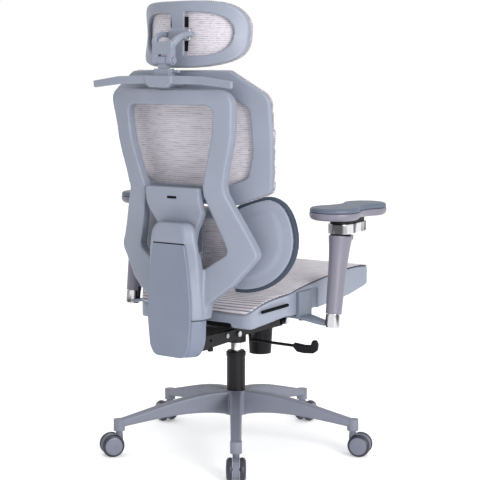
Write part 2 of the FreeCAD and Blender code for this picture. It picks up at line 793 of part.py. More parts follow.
def make_lumbar():
    thick, rim = size("lumbar_thickness"), size("lumbar_rim")
    shell_sheet = curved_sheet(lumbar_rear, 420, 720, 300, thick)
    rim_sheet = curved_sheet(lambda x, z: lumbar_rear(x, z) - 4, 420, 720, 300, thick + 3)
    mesh_sheet = curved_sheet(lambda x, z: lumbar_rear(x, z) - thick - 0.3, 420, 720, 300,
                              size("mesh_thickness"))
    strap_sheet = curved_sheet(lambda x, z: lumbar_rear(x, z) - 1.5, 420, 720, 300, thick - 3)
    wings, rims = [], []
    for side in (-1, 1):
        wings.append(wing_prism(side, -rim / 2).common(shell_sheet))
        rims.append(wing_prism(side, rim / 2).cut(wing_prism(side, -rim / 2 + 0.1)).common(rim_sheet))
    straps = [outline_prism(((-124, low), (124, low), (124, high), (-124, high)), 4).common(strap_sheet)
              for low, high in ((468, 494), (638, 658))]
    straps.append(outline_prism(((-22, 490), (22, 490), (22, 642), (-22, 642)), 4).common(strap_sheet))
    lug = box((-20, 171, 532), (20, 213, 550))
    pin = rod((-33, 208, 541), (33, 208, 541), size("lumbar_pin") / 2)
    feature("lumbar_shell", joined(wings + straps + [lug, pin]))
    feature("lumbar_edging", Part.makeCompound(rims))
    between = outline_prism(((-112, 668), (112, 668), (112, 455), (-112, 455)), 10)
    feature("lumbar_mesh", between.common(mesh_sheet))


# ---------------------------------------------------------------- headrest

HEAD_OUTER = ((0, 1184), (80, 1183), (132, 1168), (161, 1128), (163, 1090), (146, 1052),
              (100, 1029), (0, 1021))
HEAD_INNER = ((0, 1156), (76, 1155), (113, 1145), (137, 1117), (137, 1093), (120, 1068),
              (84, 1053), (0, 1050))


def head_rear(x, z):
    """A roll that wraps forwards at its ends, with its lower edge standing back."""
    return 249 - 2.1e-3 * x ** 2 - 3.5e-8 * x ** 4 + 1.2e-3 * (z - 1122) ** 2


def symmetric_outline(points):
    """A smooth closed outline from its left half, extruded along Y."""
    right = [(-x, z) for x, z in reversed(points[1:-1])]
    places = [V(x, -100, z) for x, z in points] + [V(x, -100, z) for x, z in right]
    curve = Part.BSplineCurve()
    curve.interpolate(Points=places, PeriodicFlag=True)
    return Part.Face(Part.Wire([curve.toShape()])).extrude(V(0, 500, 0))


def make_headrest():
    pin_y, pin_z = size("head_pin_y"), size("head_pin_z")
    depth = size("head_rim_depth")
    rim_sheet = curved_sheet(head_rear, 1000, 1200, 190, depth)
    ring = symmetric_outline(HEAD_OUTER).cut(symmetric_outline(HEAD_INNER)).common(rim_sheet)
    bar = outline_prism(((-20, 1165), (20, 1165), (20, 1040), (-20, 1040)), 4).common(rim_sheet)
    boss = box((-28, 233, 1090), (28, 252, 1114))
    frame = joined([ring, bar, boss])
    frame = frame.cut(rod((-60, pin_y, pin_z), (60, pin_y, pin_z), 4.05))
    feature("headrest_frame", frame)
    mesh_sheet = curved_sheet(lambda x, z: head_rear(x, z) - depth - 0.2, 1000, 1200, 190,
                              size("mesh_thickness"))
    clearance = box((-28.3, 205, 1089.7), (28.3, 245, 1114.3))
    feature("headrest_mesh", symmetric_outline(HEAD_OUTER).common(mesh_sheet).cut(clearance))


def make_headrest_yoke():
    """Two curved arms rise from a split barrel and hold the headrest's pin."""
    y, z = size("barrel_y"), size("barrel_z")
    pin_y, pin_z = size("head_pin_y"), size("head_pin_z")
    radius = size("barrel_diameter") / 2
    knuckle = size("post_width") / 2 + 0.6
    pieces = []
    for side in (-1, 1):
        pieces.append(rod((side * knuckle, y, z), (side * 30, y, z), radius))
        low, high = sorted((side * (knuckle + 1), side * 30))
        pieces.append(box((low, y - 9, z), (high, y + 9, z + 20)))
        arm = swept_bar((((side * 22, y, z + 34), 18, 15), ((side * 33, y - 8, z + 50), 16, 14),
                         ((side * 38, y - 32, z + 63), 14, 11), ((side * 38, pin_y, pin_z), 14, 10)),
                        4, rear=V(side, 0, 0))
        pieces.append(arm)
        pieces.append(rod((side * 33, pin_y, pin_z), (side * 43, pin_y, pin_z), 7))
    pieces.append(box((-30, y - 9, z + 14.5), (30, y + 9, z + 46)))
    yoke = joined(pieces)
    yoke = yoke.cut(rod((-60, y, z), (60, y, z), 4.05))
    yoke = yoke.cut(rod((-knuckle, y, z), (knuckle, y, z), radius + 0.6))
    axle = rod((-46, pin_y, pin_z), (46, pin_y, pin_z), 4)
    heads = [rod((side * 43, pin_y, pin_z), (side * 46, pin_y, pin_z), 6) for side in (-1, 1)]
    feature("headrest_yoke", joined([yoke, axle] + heads))


def make_headrest_post():
    width, depth = size("post_width"), size("post_depth")
    y, z = size("barrel_y"), size("barrel_z")
    blade = box((-width / 2, y - depth / 2, 970), (width / 2, y + depth / 2, z))
    knuckle = rod((-width / 2, y, z), (width / 2, y, z), size("barrel_diameter") / 2)
    pin = rod((-34, y, z), (34, y, z), 4)
    discs = [rod((side * 30.4, y, z), (side * 34, y, z), 8) for side in (-1, 1)]
    feature("headrest_post", joined([blade, knuckle, pin] + discs))


# ---------------------------------------------------------------- seat

def make_seat_carrier():
    """The tilting plate on the mechanism, with front hinge ears and the depth rails."""
    half = size("carrier_half_width")
    low, high = size("carrier_bottom"), size("carrier_top")
    plate = box((-half, -150, low), (half, 150, high))
    pieces = [plate]
    for side in (-1, 1):
        near, far = sorted((side * 70, side * 78))
        pieces.append(box((near, SEAT_PIVOT_Y - 13, SEAT_PIVOT_Z - 11),
                          (far, SEAT_PIVOT_Y + 13, low + 2)))
        near, far = sorted((side * 68, side * 88))
        pieces.append(box((near, -150, high), (far, 150, high + size("rail_height"))))
    plate = joined(pieces)
    bore = rod((-100, SEAT_PIVOT_Y, SEAT_PIVOT_Z), (100, SEAT_PIVOT_Y, SEAT_PIVOT_Z),
               size("pivot_bore") / 2)
    feature("seat_carrier", plate.cut(bore))


def seat_plan(inset):
    """The seat's outline from above, as a tall prism."""
    half = size("seat_half_width") - inset
    front, rear = size("seat_front") + inset, size("seat_rear") - inset
    points = [V(-half, front, 300), V(half, front, 300), V(half, 98, 300),
              V(172 - inset, rear, 300), V(-172 + inset, rear, 300), V(-half, 98, 300)]
    return Part.Face(rounded_polygon(points, (50, 50, 30, 40, 40, 30))).extrude(V(0, 0, 300))


SEAT_SURFACE_ROWS = ((-328, 438), (-318, 460), (-300, 477), (-268, 486), (-215, 489), (-150, 487),
                     (-80, 481), (0, 472), (70, 461), (120, 449), (155, 433), (182, 410), (204, 386))


def seat_surface():
    """The top of the seat: a waterfall front, a raised rear and a shallow dish."""
    grid = []
    for i in range(9):
        x = -252 + 63 * i
        dish = 12 * (1 - min(1, abs(x) / 252) ** 2)
        line = []
        for y, z in SEAT_SURFACE_ROWS:
            fade = max(0.0, 1 - (abs(y + 40) / 240) ** 3)
            line.append(V(x, y, z - dish * fade))
        grid.append(line)
    surface = Part.BSplineSurface()
    surface.interpolate(grid)
    return surface.toShape()


def make_seat():
    thick = size("seat_mesh_thickness")
    surface = seat_surface()
    skin = surface.extrude(V(0, 0, -thick))
    feature("seat_mesh", seat_plan(0.5).common(skin))
    above = surface.translated(V(0, 0, -thick - 0.3)).extrude(V(0, 0, 200))
    side_profile = [V(-300, -320, 462), V(-300, -300, 433), V(-300, -190, 412), V(-300, 20, 393),
                    V(-300, 104, 393), V(-300, 180, 362), V(-300, 191, 372), V(-300, 191, 520),
                    V(-300, -322, 520)]
    body = Part.Face(rounded_polygon(side_profile, (12, 24, 60, 60, 10, 5, 5, 2, 2)))
    tray = seat_plan(0).common(body.extrude(V(600, 0, 0))).cut(above)
    wall = size("tray_wall")
    floor_profile = [V(-300, -292, 448), V(-300, -190, 422), V(-300, 60, 402), V(-300, 175, 398),
                     V(-300, 176, 560), V(-300, -292, 560)]
    hollow = Part.Face(Part.makePolygon(floor_profile + floor_profile[:1])).extrude(V(600, 0, 0))
    tray = tray.cut(seat_plan(wall).common(hollow))
    tray = tray.cut(box((-106, -160, 340), (106, 150, 386)))
    tray = tray.cut(box((-120, 140, 340), (120, 200, 375)))
    runners = [box((min(side * 70, side * 86), -125, 375.4), (max(side * 70, side * 86), 125, 402))
               for side in (-1, 1)]
    for side in (-1, 1):
        groove = rod((side * 182, 184, 404), (side * 247, 102, 428), 5.5)
        recess_low, recess_high = sorted((side * 232, side * 250))
        recess = box((recess_low, -34, 380), (recess_high, 12, 452))
        tray = tray.cut(groove).cut(recess)
    feature("seat_tray", joined([tray] + runners))


# ---------------------------------------------------------------- armrests

ARM_LOW = V(size("arm_x"), size("arm_y_low"), size("arm_z_low"))
ARM_HIGH = V(size("arm_x"), size("arm_y_high"), size("arm_z_high"))
ARM_ALONG = (ARM_HIGH - ARM_LOW).normalize()
PAD_PIVOT = V(size("arm_x"), size("arm_y_high"), 0)


def figure_eight(rear_centre, rear_radius, front_centre, front_radius, waist_radius, z):
    """Two round lobes joined by concave arcs that touch both."""
    span = (front_centre - rear_centre).Length
    ahead = (front_centre - rear_centre).normalize()
    aside = V(-ahead.y, ahead.x, 0)
    to_rear, to_front = rear_radius + waist_radius, front_radius + waist_radius
    reach = (span ** 2 + to_rear ** 2 - to_front ** 2) / (2 * span)
    offset = math.sqrt(to_rear ** 2 - reach ** 2)
    level = V(0, 0, z)
    edges = []
    touches = []
    for side in (1, -1):
        waist = rear_centre + ahead * reach + aside * (side * offset)
        at_rear = rear_centre + (waist - rear_centre).normalize() * rear_radius
        at_front = front_centre + (waist - front_centre).normalize() * front_radius
        middle = waist + ((rear_centre + ahead * reach) - waist).normalize() * waist_radius
        touches.append((at_rear, middle, at_front))
    (rear_a, middle_a, front_a), (rear_b, middle_b, front_b) = touches
    rear_end = rear_centre - ahead * rear_radius
    front_end = front_centre + ahead * front_radius
    for start, middle, end in ((rear_a, middle_a, front_a), (front_a, front_end, front_b),
                               (front_b, middle_b, rear_b), (rear_b, rear_end, rear_a)):
        edges.append(Part.Arc(start + level, middle + level, end + level).toShape())
    return Part.Face(Part.Wire(edges))


def teardrop(grow, z, height):
    """The plate under the pad: a big round over the post and a small one ahead of it."""
    big, small = 32 + grow, 19 + grow
    rear_y, front_y = size("arm_y_high"), -86
    lean = math.asin((big - small) / (rear_y - front_y))
    across, ahead = math.cos(lean), math.sin(lean)

    def point(x, y):
        return V(ARM_HIGH.x + x, y, z)

    rear_left, rear_right = [point(s * big * across, rear_y - big * ahead) for s in (-1, 1)]
    front_left, front_right = [point(s * small * across, front_y - small * ahead) for s in (-1, 1)]
    edges = [Part.Arc(rear_right, point(0, rear_y + big), rear_left).toShape(),
             Part.LineSegment(rear_left, front_left).toShape(),
             Part.Arc(front_left, point(0, front_y - small), front_right).toShape(),
             Part.LineSegment(front_right, rear_right).toShape()]
    return Part.Face(Part.Wire(edges)).extrude(V(0, 0, height))


def ellipse_wire(centre, half_x, half_y):
    """An ellipse square to the arm's axis, long way fore and aft."""
    fore = V(0, ARM_ALONG.z, -ARM_ALONG.y)
    major = centre + fore * half_y
    minor = centre + V(half_x, 0, 0)
    return Part.Wire([Part.Ellipse(major, minor, centre).toShape()])


def make_arm(side):
    """One armrest. Its sleeve, head, trigger and pad rise together on the chrome post."""
    name = "left" if side > 0 else "right"
    bottom = size("post_foot")

    def place(label, shape, pose=Placement()):
        feature("%s_%s" % (name, label), shape if side > 0 else mirrored(shape), pose)

    bracket = swept_bar((((176, 36, 387), 62, 8), ((222, 40, 387), 58, 8), ((262, 42, 384), 50, 8),
                         ((292, 40, 378), 42, 8), ((316, 38, 375), 38, 8)), 3, rear=V(0, 0, 1))
    mount = box((240.4, 10, 385), (249, 70, 452))
    slot = rod((262, 44, 370), (262, 44, 400), 4)
    bolt = rod((242, 40, 376), (242, 40, 384), 8)
    radius = size("post_radius")
    foot_start = ARM_LOW - ARM_ALONG * (ARM_LOW.z - bottom)
    socket = Part.makeCylinder(19.6, 60, foot_start - ARM_ALONG * 8, ARM_ALONG)
    place("arm_bracket", joined([bracket.cut(slot), bolt, mount]).cut(socket))
    foot = Part.makeCylinder(19.5, ARM_LOW.z - bottom - 1, foot_start, ARM_ALONG)
    inner = Part.makeCylinder(radius, 150, ARM_LOW - ARM_ALONG * 5, ARM_ALONG)
    step = Part.makeCylinder(17, 4, foot_start - ARM_ALONG * 4, ARM_ALONG)
    place("arm_post", joined([foot, inner, step]))
    length = (ARM_HIGH - ARM_LOW).Length
    rings = []
    for share, half_x, half_y in ((0, 20, 22), (0.25, 20.8, 24), (0.5, 22, 26), (0.75, 24, 29),
                                  (0.9, 26.6, 32), (1.0, 29, 34.5)):
        rings.append(ellipse_wire(ARM_LOW + ARM_ALONG * (length * share), half_x, half_y))
    sleeve = Part.makeLoft(rings, True, False)
    sleeve = sleeve.cut(Part.makeCylinder(radius + 0.4, 230, ARM_LOW - ARM_ALONG * 10, ARM_ALONG))
    collar = Part.makeCylinder(25, 5, ARM_HIGH + V(0, 0, 1), V(0, 0, 1))
    collar = collar.cut(Part.makeCylinder(radius + 0.4, 20, ARM_HIGH - ARM_ALONG * 5, ARM_ALONG))
    place("arm_sleeve", joined([sleeve, collar]))
    plate = teardrop(0, size("head_plate_bottom"), size("head_plate_height"))
    rim = [edge for edge in plate.Edges if edge.BoundBox.ZLength < 0.1]
    place("arm_head", plate.makeFillet(2.5, rim))
    finger = box((320, -45, 583), (340, -31.5, 596))
    place("arm_trigger", finger.makeFillet(2, finger.Edges))
    # the left pad is swivelled with its front end inwards and pushed forward
    turn, forward = Placement(), Placement()
    if side > 0:
        turn = Placement(V(0, 0, 0), Rotation(V(0, 0, 1), -size("left_pad_turn")), PAD_PIVOT)
        forward = Placement(V(0, -size("left_pad_forward"), 0), Rotation())
    carriage_z = size("head_plate_bottom") + size("head_plate_height") + 0.3
    carriage = teardrop(-5, carriage_z, size("carriage_height"))
    place("pad_carriage", carriage, turn)
    rear_lobe, front_lobe = size("rear_lobe"), size("front_lobe")
    rear_centre, front_centre = V(345, 55, 0), V(338, -100, 0)
    low, high = size("pad_shell_bottom"), size("pad_shell_height")
    shell = figure_eight(rear_centre, rear_lobe, front_centre, front_lobe, 100, low).extrude(V(0, 0, high))
    shell = shell.makeFillet(13, [edge for edge in shell.Edges if edge.BoundBox.ZMax < low + 0.1])
    hinge_boss = box((277, -44, low + 1), (293, -22, low + high - 1))
    shell = joined([shell, hinge_boss])
    top = figure_eight(rear_centre, rear_lobe - 1, front_centre, front_lobe - 1, 101,
                       low + high + 0.2).extrude(V(0, 0, size("pad_top_height")))
    crown = low + high + size("pad_top_height")
    top = top.makeFillet(7, [edge for edge in top.Edges if edge.BoundBox.ZMin > crown])
    for label, shape in (("pad_shell", shell), ("pad_top", top)):
        place(label, shape, turn.multiply(forward))


# ---------------------------------------------------------------- build and write

make_star_base()
for caster_number, leg_angle in enumerate(LEG_ANGLES, start=1):
    make_caster(caster_number, leg_angle)
make_column()
make_mechanism()
make_tension_knob()
make_lever("height_lever", -1)
make_lever("lock_lever", 1)
make_link_bars()
make_back_frame()
make_spine_cover()
make_lower_spine_box()
make_upper_back()
make_coat_hanger()
make_headrest_socket()
make_lumbar()
make_headrest()
make_headrest_yoke()
make_headrest_post()
make_seat_carrier()
make_seat()
make_arm(-1)
make_arm(1)
doc.recompute()

for item in doc.Objects:
    if "Invalid" in item.State or "Error" in item.State:
        raise RuntimeError("%s did not build: %s" % (item.Label, item.State))
faulty = [item.Label for item in nodes if item.Shape.isNull() or not item.Shape.isValid()]
if faulty:
    raise RuntimeError("no valid shape: %s" % ", ".join(faulty))
os.makedirs("parts", exist_ok=True)
for item in nodes:
    item.Shape.exportStep("parts/%s.step" % item.Label)
print("%d sub-parts written" % len(nodes))
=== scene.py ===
"""Gaming chair: the looks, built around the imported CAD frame. Metres, +Z up, sitter faces -Y."""
import json
import math

import bmesh
import bpy
from mathutils import Matrix, Vector, kdtree
from mathutils.bvhtree import BVHTree


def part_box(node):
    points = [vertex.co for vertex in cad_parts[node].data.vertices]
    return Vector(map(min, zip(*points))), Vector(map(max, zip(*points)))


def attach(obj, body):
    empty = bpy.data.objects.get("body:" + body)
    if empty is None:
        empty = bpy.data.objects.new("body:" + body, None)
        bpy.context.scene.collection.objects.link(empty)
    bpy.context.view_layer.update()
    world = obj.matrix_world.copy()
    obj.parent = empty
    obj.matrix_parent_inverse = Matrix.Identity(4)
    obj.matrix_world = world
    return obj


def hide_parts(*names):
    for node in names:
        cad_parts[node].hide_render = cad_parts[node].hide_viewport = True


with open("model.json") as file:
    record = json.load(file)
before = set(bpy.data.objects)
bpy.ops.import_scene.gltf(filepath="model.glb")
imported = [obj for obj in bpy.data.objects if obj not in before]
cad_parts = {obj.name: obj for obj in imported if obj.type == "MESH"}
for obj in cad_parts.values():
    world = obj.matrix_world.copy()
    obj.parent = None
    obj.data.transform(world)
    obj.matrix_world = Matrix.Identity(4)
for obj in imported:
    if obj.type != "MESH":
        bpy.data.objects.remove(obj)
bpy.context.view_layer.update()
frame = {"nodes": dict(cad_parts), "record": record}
NODES = frame["nodes"]
BODIES = frame["record"]["behaviour"]["bodies"]
BODY_OF = {node: body for body, members in BODIES.items() for node in members}

# ---------------------------------------------------------------- materials


def linear(red, green, blue):
    """An 8-bit screen colour as a linear shader colour."""
    def one(value):
        value /= 255
        return value / 12.92 if value <= 0.04045 else ((value + 0.055) / 1.055) ** 2.4
    return (one(red), one(green), one(blue), 1)


class Shader:
    """A material's node tree, with short ways to add and join nodes."""

    def __init__(self, name):
        self.material = bpy.data.materials.new(name)
        self.material.use_nodes = True
        self.tree = self.material.node_tree
        self.surface = self.tree.nodes["Principled BSDF"]
        self.place = self.add("ShaderNodeTexCoord").outputs["Object"]

    def add(self, kind, **settings):
        node = self.tree.nodes.new(kind)
        for key, value in settings.items():
            setattr(node, key, value)
        return node

    def join(self, source, target):
        self.tree.links.new(source, target)

    def noise(self, scale, detail=2.0, stretch=(1, 1, 1), roughness=0.5):
        """Noise over the chair's own coordinates, stretched per axis."""
        mapping = self.add("ShaderNodeMapping")
        mapping.inputs["Scale"].default_value = stretch
        self.join(self.place, mapping.inputs["Vector"])
        texture = self.add("ShaderNodeTexNoise")
        texture.inputs["Scale"].default_value = scale
        texture.inputs["Detail"].default_value = detail
        texture.inputs["Roughness"].default_value = roughness
        self.join(mapping.outputs["Vector"], texture.inputs["Vector"])
        return texture.outputs["Fac"]

    def ramp(self, source, *stops):
        """A colour ramp: stops are (position, colour)."""
        ramp = self.add("ShaderNodeValToRGB")
        elements = ramp.color_ramp.elements
        for i, (position, colour) in enumerate(stops):
            element = elements[i] if i < len(elements) else elements.new(position)
            element.position = position
            element.color = colour
        self.join(source, ramp.inputs["Fac"])
        return ramp.outputs["Color"]

    def mix(self, kind, share, first, second):
        """Two grey values blended; the result stays a grey value."""
        blend = self.add("ShaderNodeMix", data_type="RGBA", blend_type=kind)
        blend.inputs[0].default_value = share
        self.join(first, blend.inputs[6])
        self.join(second, blend.inputs[7])
        return blend.outputs[2]

    def bump(self, height, strength, distance):
        """A surface normal tilted by the height."""
        bump = self.add("ShaderNodeBump")
        bump.inputs["Strength"].default_value = strength
        bump.inputs["Distance"].default_value = distance
        self.join(height, bump.inputs["Height"])
        return bump.outputs["Normal"]


def shade(colour, factor):
    """The colour made darker or lighter by a factor."""
    return (colour[0] * factor, colour[1] * factor, colour[2] * factor, 1)


def moulded_plastic(name, colour, roughness=0.42, grain=1400, depth=0.00006, mottling=0.05, shine=0.5):
    """Injection-moulded plastic: a fine spark grain, faint mottling and uneven gloss."""
    s = Shader(name)
    tone = s.ramp(s.noise(9, 3), (0.3, shade(colour, 1 - mottling)), (0.7, shade(colour, 1 + mottling)))
    s.join(tone, s.surface.inputs["Base Color"])
    gloss = s.add("ShaderNodeMapRange")
    gloss.inputs["To Min"].default_value = roughness - 0.05
    gloss.inputs["To Max"].default_value = roughness + 0.07
    s.join(s.noise(60, 3), gloss.inputs["Value"])
    s.join(gloss.outputs["Result"], s.surface.inputs["Roughness"])
    s.join(s.bump(s.noise(grain, 2), 0.35, depth), s.surface.inputs["Normal"])
    s.surface.inputs["Specular IOR Level"].default_value = shine
    return s.material


LIGHT = moulded_plastic("light_plastic", linear(121, 127, 141))
COVER = moulded_plastic("cover_plastic", linear(105, 113, 130), roughness=0.4)
TAUPE = moulded_plastic("taupe_plastic", linear(104, 102, 114), roughness=0.38)
BASE = moulded_plastic("base_plastic", linear(106, 109, 122), roughness=0.46, grain=1000)
BLACK = moulded_plastic("black_plastic", linear(10, 10, 15), roughness=0.5, mottling=0.1, shine=0.22)
BLACK_STEEL = moulded_plastic("black_steel", linear(9, 9, 13), roughness=0.42, grain=700, mottling=0.1,
                              shine=0.25)
ARM_STEEL = moulded_plastic("arm_steel", linear(98, 106, 120), roughness=0.36, grain=900)
EDGING = moulded_plastic("slate_rubber", linear(48, 57, 72), roughness=0.55, shine=0.3)
PAD = moulded_plastic("pad_foam", linear(74, 84, 100), roughness=0.5, grain=500, depth=0.00015)
CASTER = moulded_plastic("caster_plastic", linear(100, 103, 117), roughness=0.35)


def chrome(name, tint, roughness, reflection_bands=(40, 40, 8)):
    """Polished plating with uneven gloss: its base colour is the plating's tint, streaked dark and bright
    with painted reflections of the studio.
    """
    s = Shader(name)
    # Painted reflection: the dark and bright streaks in the base colour stand for the studio reflected in the
    # plating.
    tone = s.ramp(s.noise(1, 2, reflection_bands, 0.4), (0.42, shade(tint, 0.12)), (0.54, tint))
    s.join(tone, s.surface.inputs["Base Color"])
    s.surface.inputs["Metallic"].default_value = 1
    gloss = s.add("ShaderNodeMapRange")
    gloss.inputs["To Min"].default_value = roughness
    gloss.inputs["To Max"].default_value = roughness + 0.08
    s.join(s.noise(40, 4), gloss.inputs["Value"])
    s.join(gloss.outputs["Result"], s.surface.inputs["Roughness"])
    return s.material


CHROME = chrome("chrome", (0.72, 0.71, 0.74, 1), 0.06)
STEEL = chrome("steel", (0.62, 0.63, 0.68, 1), 0.24)


def knitted_mesh(name, run, depth, pitch, pale, dark, contrast=0.5):
    """Taut knitted mesh. Its yarns run along one axis, side by side along another, a little unevenly."""
    s = Shader(name)
    stretch = [260, 260, 260]
    stretch[run] = 14
    streaks = s.noise(1, 3, stretch, 0.65)
    fine = [1500, 1500, 1500]
    fine[run] = 160
    gaps = s.noise(1, 1, fine, 0.5)
    wave = s.add("ShaderNodeTexWave", bands_direction="XYZ"[depth], wave_profile="SIN")
    wave.inputs["Scale"].default_value = 2 * math.pi / (20 * pitch)
    wave.inputs["Distortion"].default_value = 1.6
    wave.inputs["Detail"].default_value = 2
    wave.inputs["Detail Scale"].default_value = 30
    s.join(s.place, wave.inputs["Vector"])
    rows = s.mix("MULTIPLY", contrast, streaks, wave.outputs["Fac"])
    both = s.mix("ADD", 0.25, rows, gaps)
    tone = s.ramp(both, (0.14, dark), (0.52, pale))
    s.join(tone, s.surface.inputs["Base Color"])
    s.surface.inputs["Roughness"].default_value = 0.7
    s.surface.inputs["Sheen Weight"].default_value = 0.2
    s.join(s.bump(both, 0.4, 0.0005), s.surface.inputs["Normal"])
    return s.material


MESH = knitted_mesh("mesh_fabric", 0, 2, 0.0052, linear(190, 186, 194), linear(84, 72, 76))
SEAT_KNIT = knitted_mesh("seat_fabric", 0, 1, 0.0075, linear(188, 184, 192), linear(54, 50, 56), 0.8)
STITCH = knitted_mesh("stitched_edge", 0, 2, 0.004, linear(170, 165, 170), linear(70, 68, 76), 0.9)
# Near-black painted shade: blocks of this colour stand in gaps, slots and grooves where there is only shade.
SHADE_GAP = moulded_plastic("shadow_gap", linear(8, 8, 12), roughness=0.7, mottling=0.1, shine=0.1)


def tread_rubber():
    """Dark tread in one plain colour."""
    s = Shader("wheel_tread")
    s.surface.inputs["Base Color"].default_value = linear(28, 31, 46)
    s.surface.inputs["Roughness"].default_value = 0.4
    return s.material


TREAD = tread_rubber()

FINISHES = {"base_plastic": BASE, "black_steel": BLACK_STEEL, "black_plastic": BLACK, "steel": STEEL,
            "chrome": CHROME, "light_plastic": LIGHT, "cover_plastic": COVER, "mesh_fabric": MESH,
            "slate_rubber": EDGING, "arm_steel": ARM_STEEL, "taupe_plastic": TAUPE, "pad_foam": PAD,
            "caster_plastic": CASTER, "wheel_tread": TREAD}
SLOT_OF = {entry["node"]: entry["material_slot"] for entry in frame["record"]["subparts"]}
for node_name, node in NODES.items():
    for material_slot in node.material_slots:
        material_slot.material = FINISHES[SLOT_OF[node_name]]

# ---------------------------------------------------------------- making pieces


def new_piece(name, mesh, body, material):
    """A shown piece that rides on a CAD body, its vertices in the row frame."""
    piece = bpy.data.objects.new(name, mesh)
    bpy.context.scene.collection.objects.link(piece)
    mesh.materials.clear()
    mesh.materials.append(material)
    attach(piece, body)
    return piece


def baked(piece):
    """Apply the piece's modifiers to its mesh."""
    bpy.context.view_layer.update()
    shaped = piece.evaluated_get(bpy.context.evaluated_depsgraph_get())
    mesh = bpy.data.meshes.new_from_object(shaped)
    piece.modifiers.clear()
    piece.data = mesh


def merged_mesh(name, nodes):
    """One mesh from the CAD nodes' own meshes, with their seams welded."""
    solid = bmesh.new()
    for node in nodes:
        solid.from_mesh(NODES[node].data)
    bmesh.ops.remove_doubles(solid, verts=solid.verts, dist=1e-6)
    mesh = bpy.data.meshes.new(name)
    solid.to_mesh(mesh)
    solid.free()
    return mesh


def moulded(name, nodes, voxel=0.0022, passes=9, shape=None):
    """The CAD nodes as one soft-edged moulding: remeshed, then relaxed so that edges and joins round off."""
    piece = new_piece(name, merged_mesh(name, nodes), BODY_OF[nodes[0]], FINISHES[SLOT_OF[nodes[0]]])
    remesh = piece.modifiers.new("remesh", "REMESH")
    remesh.mode = "VOXEL"
    remesh.voxel_size = voxel
    relax = piece.modifiers.new("relax", "SMOOTH")
    relax.factor = 0.5
    relax.iterations = passes
    baked(piece)
    if shape:
        shaped = [shape(vertex.co.copy(), vertex.normal.copy()) for vertex in piece.data.vertices]
        piece.data.vertices.foreach_set("co", [value for place in shaped for value in place])
    piece.data.polygons.foreach_set("use_smooth", [True] * len(piece.data.polygons))
    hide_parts(*nodes)
    return piece


def softened(node, width, segments=3):
    """Round a CAD node's sharp edges as it is shown."""
    data = NODES[node].data
    data.polygons.foreach_set("use_smooth", [True] * len(data.polygons))
    bevel = NODES[node].modifiers.new("round_edges", "BEVEL")
    bevel.width = width
    bevel.segments = segments
    bevel.limit_method = "ANGLE"
    bevel.angle_limit = math.radians(38)
    bevel.harden_normals = True


def solid_of(name, body, material, build):
    """A small solid piece from a bmesh recipe."""
    solid = bmesh.new()
    build(solid)
    bmesh.ops.recalc_face_normals(solid, faces=solid.faces)
    mesh = bpy.data.meshes.new(name)
    solid.to_mesh(mesh)
    solid.free()
    return new_piece(name, mesh, body, material)


def block(name, body, material, low, high, edge=0.0005):
    """A box between two corners with rounded edges."""
    low, high = Vector(low), Vector(high)

    def build(solid):
        bmesh.ops.create_cube(solid, size=1, matrix=Matrix.Translation((low + high) / 2)
                              @ Matrix.Diagonal((high - low).to_4d()))
        bmesh.ops.bevel(solid, geom=solid.edges[:], offset=edge, segments=2, affect="EDGES")
    return solid_of(name, body, material, build)


def disc(name, body, material, centre, axis, radius, thickness, rim=0.0008):
    """A short round bar with a softened rim."""
    turn = Vector(axis).to_track_quat("Z", "Y").to_matrix().to_4x4()

    def build(solid):
        bmesh.ops.create_cone(solid, cap_ends=True, segments=40, radius1=radius, radius2=radius,
                              depth=thickness, matrix=Matrix.Translation(centre) @ turn)
        sharp = [edge for edge in solid.edges if edge.calc_face_angle(0) > 1]
        bmesh.ops.bevel(solid, geom=sharp, offset=rim, segments=2, affect="EDGES")
    piece = solid_of(name, body, material, build)
    piece.data.shade_smooth()
    piece.data.set_sharp_from_angle(angle=math.radians(45))
    return piece


def tube_along(name, body, material, places, radius, pitch=0, swell=0):
    """A closed round cord through the places, swollen once every pitch where it is stitched."""
    places = [Vector(place) for place in places]
    count, sides = len(places), 8
    solid = bmesh.new()
    rings = []
    travelled = 0
    for i, place in enumerate(places):
        along = (places[(i + 1) % count] - places[i - 1]).normalized()
        across = along.cross(Vector((0.3, 0.9, 0.31))).normalized()
        up = along.cross(across)
        travelled += (place - places[i - 1]).length if i else 0
        reach = radius + (swell * math.sin(2 * math.pi * travelled / pitch) if pitch else 0)
        ring = []
        for k in range(sides):
            turn = 2 * math.pi * k / sides
            ring.append(solid.verts.new(place + reach * (across * math.cos(turn) + up * math.sin(turn))))
        rings.append(ring)
    for i in range(count):
        ahead = rings[(i + 1) % count]
        for k in range(sides):
            solid.faces.new((rings[i][k], rings[i][(k + 1) % sides], ahead[(k + 1) % sides], ahead[k]))
    bmesh.ops.recalc_face_normals(solid, faces=solid.faces)
    mesh = bpy.data.meshes.new(name)
    solid.to_mesh(mesh)
    solid.free()
    piece = new_piece(name, mesh, body, material)
    piece.data.shade_smooth()
    return piece


